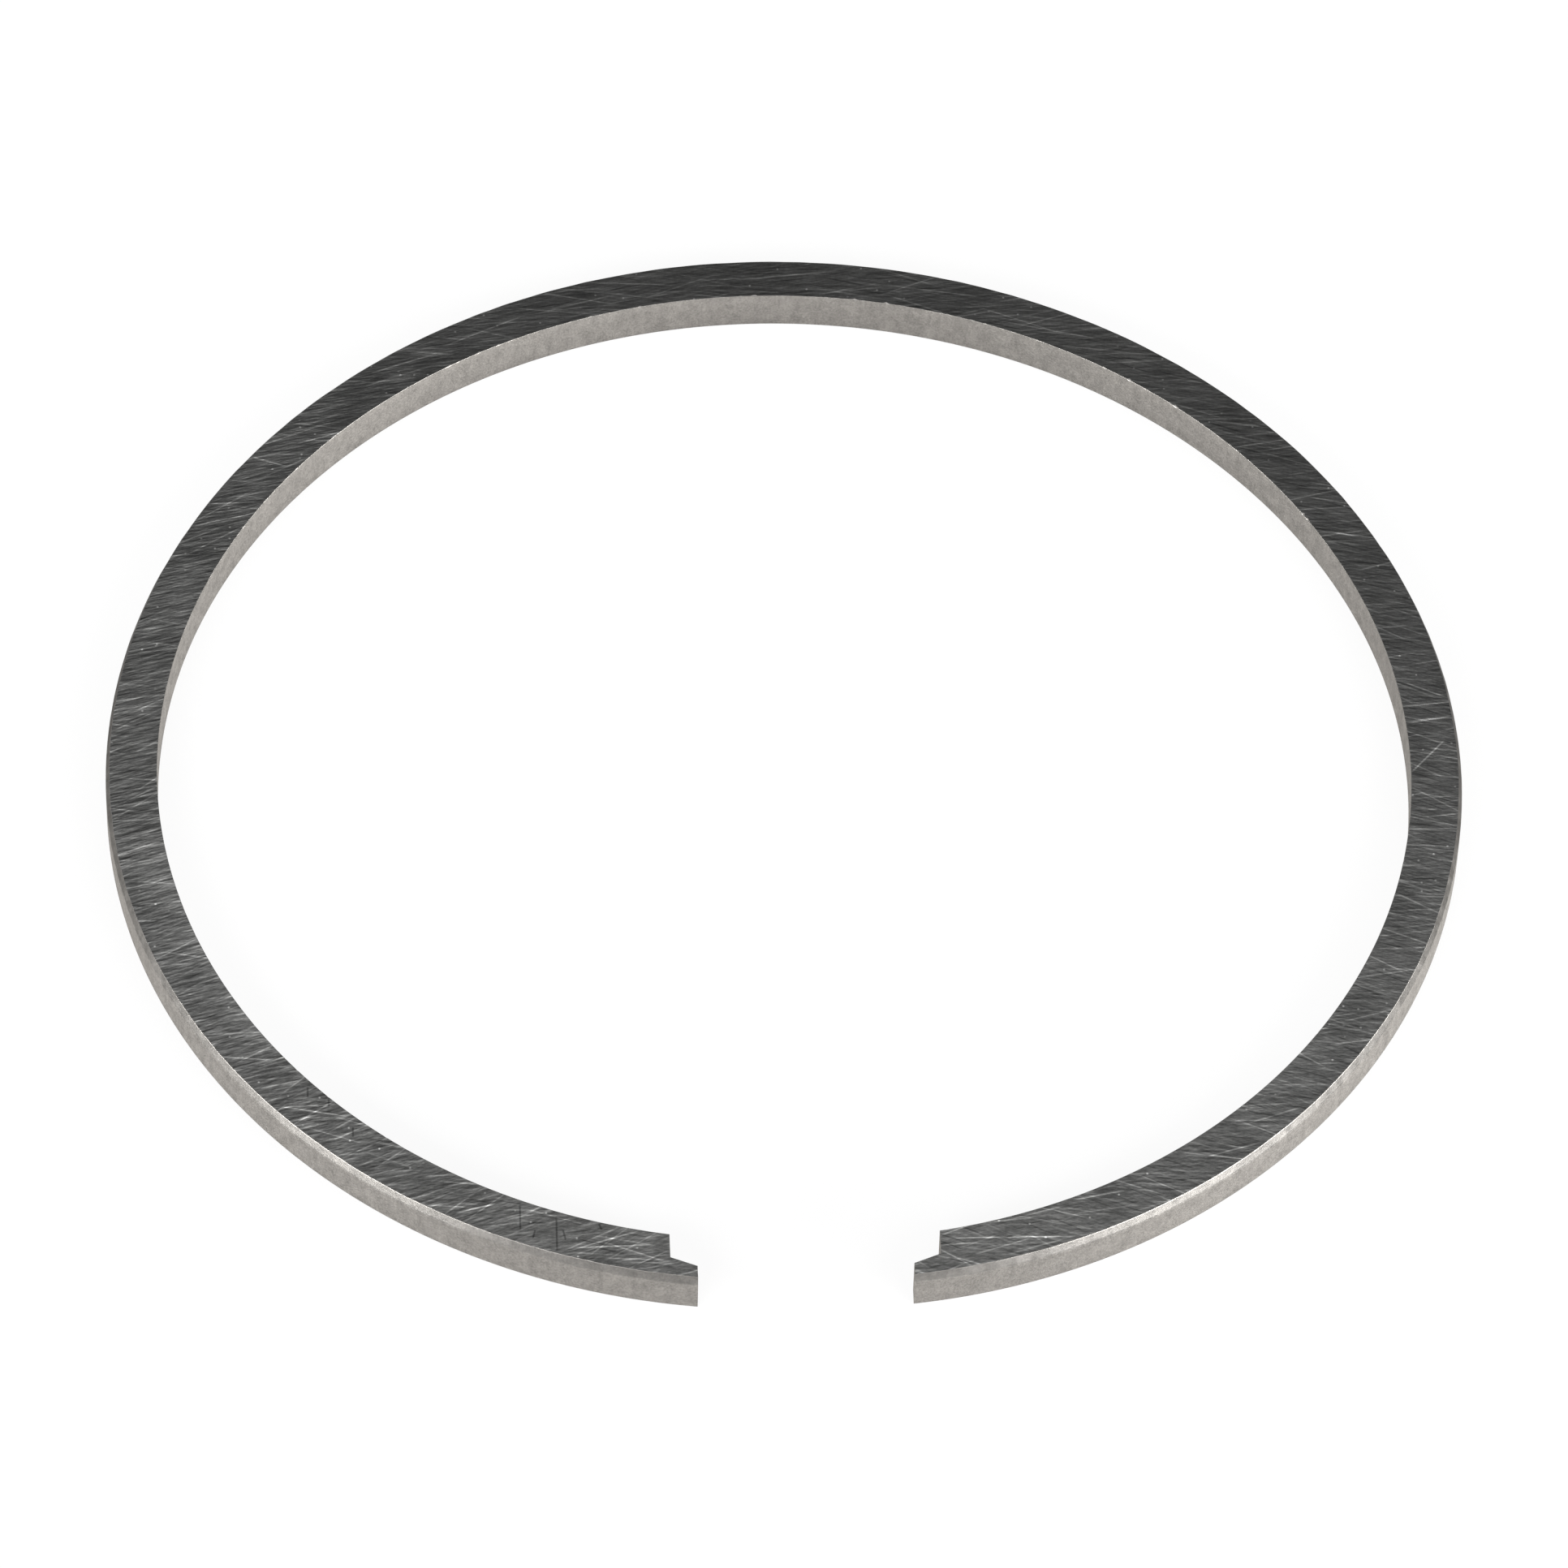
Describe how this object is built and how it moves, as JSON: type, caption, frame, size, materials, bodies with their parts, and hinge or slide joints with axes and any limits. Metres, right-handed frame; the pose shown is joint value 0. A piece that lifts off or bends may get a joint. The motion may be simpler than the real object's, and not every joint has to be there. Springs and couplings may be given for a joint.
{
  "type": "piston ring",
  "caption": "Split piston ring in its free, sprung-open state, with a bevelled upper outer edge and stepped ends that clear the locating peg in a small engine's ring groove.",
  "frame": {"origin": "under the middle of the free ring's box, in the plane of its lower side face", "axes": "+Z along the ring's axis, up from the side face that it lies on; the gap faces -Y; +X across the ring"},
  "size_m": [0.0466, 0.0454, 0.0015],
  "materials": {
    "ring_iron": "bare ring iron: side faces ground and lapped dark grey with fine crossing lines, inner and outer walls matte light grey"
  },
  "bodies": {
    "root": {"piston_ring": "ring_iron"}
  },
  "joints": []
}
